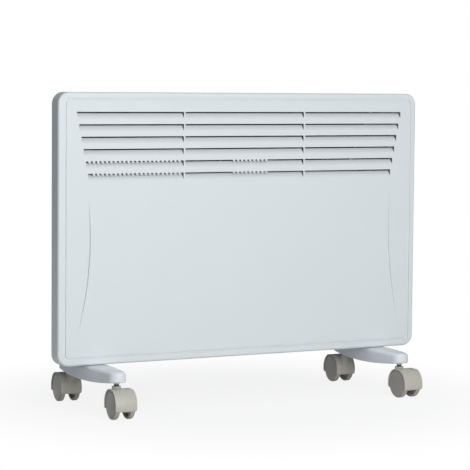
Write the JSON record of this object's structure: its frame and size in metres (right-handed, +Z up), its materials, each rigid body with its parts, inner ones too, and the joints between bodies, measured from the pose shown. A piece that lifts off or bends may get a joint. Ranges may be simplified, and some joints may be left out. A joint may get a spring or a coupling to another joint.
{
  "type": "panel convector heater",
  "caption": "Free-standing electric panel convector: louvred steel case on two moulded feet with swivelling hooded twin-wheel castors.",
  "frame": {"origin": "on the floor under the centre of the whole heater's outline", "axes": "+X along the heater's length to the right as seen from the front, +Y from the front panel towards the back wall, +Z up"},
  "size_m": [0.645, 0.2548, 0.489],
  "materials": {
    "panel_white": "semi-gloss powder coat",
    "foot_plastic": "satin moulded plastic",
    "castor_plastic": "satin moulded plastic",
    "wheel_plastic": "satin moulded plastic",
    "stem_steel": "dark zinc",
    "zinc_steel": "zinc plated",
    "element_aluminium": "plain extrusion",
    "aluminised_sheet": "aluminised sheet",
    "dark_sheet": "dark heat-proof coating",
    "ceramic": "glazed ceramic",
    "brass_terminal": "plain",
    "black_plastic": "fine texture",
    "fascia_plastic": "fine texture",
    "knob_plastic": "satin",
    "rocker_plastic": "polished",
    "lamp_lens": "clear amber",
    "wire_insulation": "silicone"
  },
  "bodies": {
    "heater_body": {"air_deflector": "dark_sheet", "back_screws": "zinc_steel", "cable_gland": "black_plastic", "castor_stem_front_left": "stem_steel", "castor_stem_front_right": "stem_steel", "castor_stem_rear_left": "stem_steel", "castor_stem_rear_right": "stem_steel", "control_box": "black_plastic", "control_fascia": "fascia_plastic", "element_bracket_left": "aluminised_sheet", "element_bracket_right": "aluminised_sheet", "element_insulator_left": "ceramic", "element_insulator_right": "ceramic", "element_terminal_left": "brass_terminal", "element_terminal_right": "brass_terminal", "fascia_screws": "zinc_steel", "floor_screws": "zinc_steel", "foot_left": "foot_plastic", "foot_nuts": "zinc_steel", "foot_right": "foot_plastic", "foot_screws": "zinc_steel", "front_panel": "panel_white", "gland_nut": "black_plastic", "heat_shield": "aluminised_sheet", "heating_element": "element_aluminium", "indicator_lamp": "lamp_lens", "internal_wiring": "wire_insulation", "panel_screws": "zinc_steel", "rear_housing": "panel_white", "rocker_frame_lower": "black_plastic", "rocker_frame_upper": "black_plastic", "terminal_block": "black_plastic", "thermal_cutout": "ceramic", "thermostat_body": "black_plastic", "tilt_switch_case": "black_plastic"},
    "thermostat_dial": {"thermostat_knob": "knob_plastic", "thermostat_spindle": "zinc_steel"},
    "upper_rocker": {"rocker_upper": "rocker_plastic"},
    "lower_rocker": {"rocker_lower": "rocker_plastic"},
    "tilt_weight": {"tilt_pendulum": "black_plastic"},
    "castor_front_left": {"castor_hood_front_left": "castor_plastic", "castor_axle_front_left": "zinc_steel"},
    "wheel_front_left_outboard": {"wheel_front_left_outboard": "wheel_plastic"},
    "wheel_front_left_inboard": {"wheel_front_left_inboard": "wheel_plastic"},
    "castor_front_right": {"castor_hood_front_right": "castor_plastic", "castor_axle_front_right": "zinc_steel"},
    "wheel_front_right_outboard": {"wheel_front_right_outboard": "wheel_plastic"},
    "wheel_front_right_inboard": {"wheel_front_right_inboard": "wheel_plastic"},
    "castor_rear_left": {"castor_hood_rear_left": "castor_plastic", "castor_axle_rear_left": "zinc_steel"},
    "wheel_rear_left_outboard": {"wheel_rear_left_outboard": "wheel_plastic"},
    "wheel_rear_left_inboard": {"wheel_rear_left_inboard": "wheel_plastic"},
    "castor_rear_right": {"castor_hood_rear_right": "castor_plastic", "castor_axle_rear_right": "zinc_steel"},
    "wheel_rear_right_outboard": {"wheel_rear_right_outboard": "wheel_plastic"},
    "wheel_rear_right_inboard": {"wheel_rear_right_inboard": "wheel_plastic"}
  },
  "joints": [
    {"name": "thermostat_turn", "type": "hinge", "parent": "heater_body", "child": "thermostat_dial", "pos_m": [0.2972, 0.03369, 0.39198], "axis": [-1, 0, 0], "range_deg": [0, 270]},
    {"name": "upper_rocker_press", "type": "hinge", "parent": "heater_body", "child": "upper_rocker", "pos_m": [0.2959, 0.03369, 0.34197], "axis": [0, 1, 0], "range_deg": [0, 16]},
    {"name": "lower_rocker_press", "type": "hinge", "parent": "heater_body", "child": "lower_rocker", "pos_m": [0.2959, 0.03369, 0.31398], "axis": [0, 1, 0], "range_deg": [0, 16]},
    {"name": "tilt_swing", "type": "hinge", "parent": "heater_body", "child": "tilt_weight", "pos_m": [0.1885, 0.03369, 0.10977], "axis": [1, 0, 0], "range_deg": [-20, 20]},
    {"name": "castor_front_left_swivel", "type": "hinge", "parent": "heater_body", "child": "castor_front_left", "pos_m": [-0.2545, -0.08406, 0.0479], "axis": [0, 0, 1], "continuous": true},
    {"name": "wheel_front_left_outboard_spin", "type": "hinge", "parent": "castor_front_left", "child": "wheel_front_left_outboard", "pos_m": [-0.25587, -0.10151, 0.0225], "axis": [0.9969, -0.0785, 0], "continuous": true},
    {"name": "wheel_front_left_inboard_spin", "type": "hinge", "parent": "castor_front_left", "child": "wheel_front_left_inboard", "pos_m": [-0.25587, -0.10151, 0.0225], "axis": [0.9969, -0.0785, 0], "continuous": true},
    {"name": "castor_front_right_swivel", "type": "hinge", "parent": "heater_body", "child": "castor_front_right", "pos_m": [0.2545, -0.08406, 0.0479], "axis": [0, 0, 1], "continuous": true},
    {"name": "wheel_front_right_outboard_spin", "type": "hinge", "parent": "castor_front_right", "child": "wheel_front_right_outboard", "pos_m": [0.25481, -0.10156, 0.0225], "axis": [0.9998, 0.0175, 0], "continuous": true},
    {"name": "wheel_front_right_inboard_spin", "type": "hinge", "parent": "castor_front_right", "child": "wheel_front_right_inboard", "pos_m": [0.25481, -0.10156, 0.0225], "axis": [0.9998, 0.0175, 0], "continuous": true},
    {"name": "castor_rear_left_swivel", "type": "hinge", "parent": "heater_body", "child": "castor_rear_left", "pos_m": [-0.2545, 0.08394, 0.0479], "axis": [0, 0, 1], "continuous": true},
    {"name": "wheel_rear_left_outboard_spin", "type": "hinge", "parent": "castor_rear_left", "child": "wheel_rear_left_outboard", "pos_m": [-0.25298, 0.10137, 0.0225], "axis": [-0.9962, 0.0872, 0], "continuous": true},
    {"name": "wheel_rear_left_inboard_spin", "type": "hinge", "parent": "castor_rear_left", "child": "wheel_rear_left_inboard", "pos_m": [-0.25298, 0.10137, 0.0225], "axis": [-0.9962, 0.0872, 0], "continuous": true},
    {"name": "castor_rear_right_swivel", "type": "hinge", "parent": "heater_body", "child": "castor_rear_right", "pos_m": [0.2545, 0.08394, 0.0479], "axis": [0, 0, 1], "continuous": true},
    {"name": "wheel_rear_right_outboard_spin", "type": "hinge", "parent": "castor_rear_right", "child": "wheel_rear_right_outboard", "pos_m": [0.25542, 0.10142, 0.0225], "axis": [-0.9986, 0.0523, 0], "continuous": true},
    {"name": "wheel_rear_right_inboard_spin", "type": "hinge", "parent": "castor_rear_right", "child": "wheel_rear_right_inboard", "pos_m": [0.25542, 0.10142, 0.0225], "axis": [-0.9986, 0.0523, 0], "continuous": true}
  ]
}
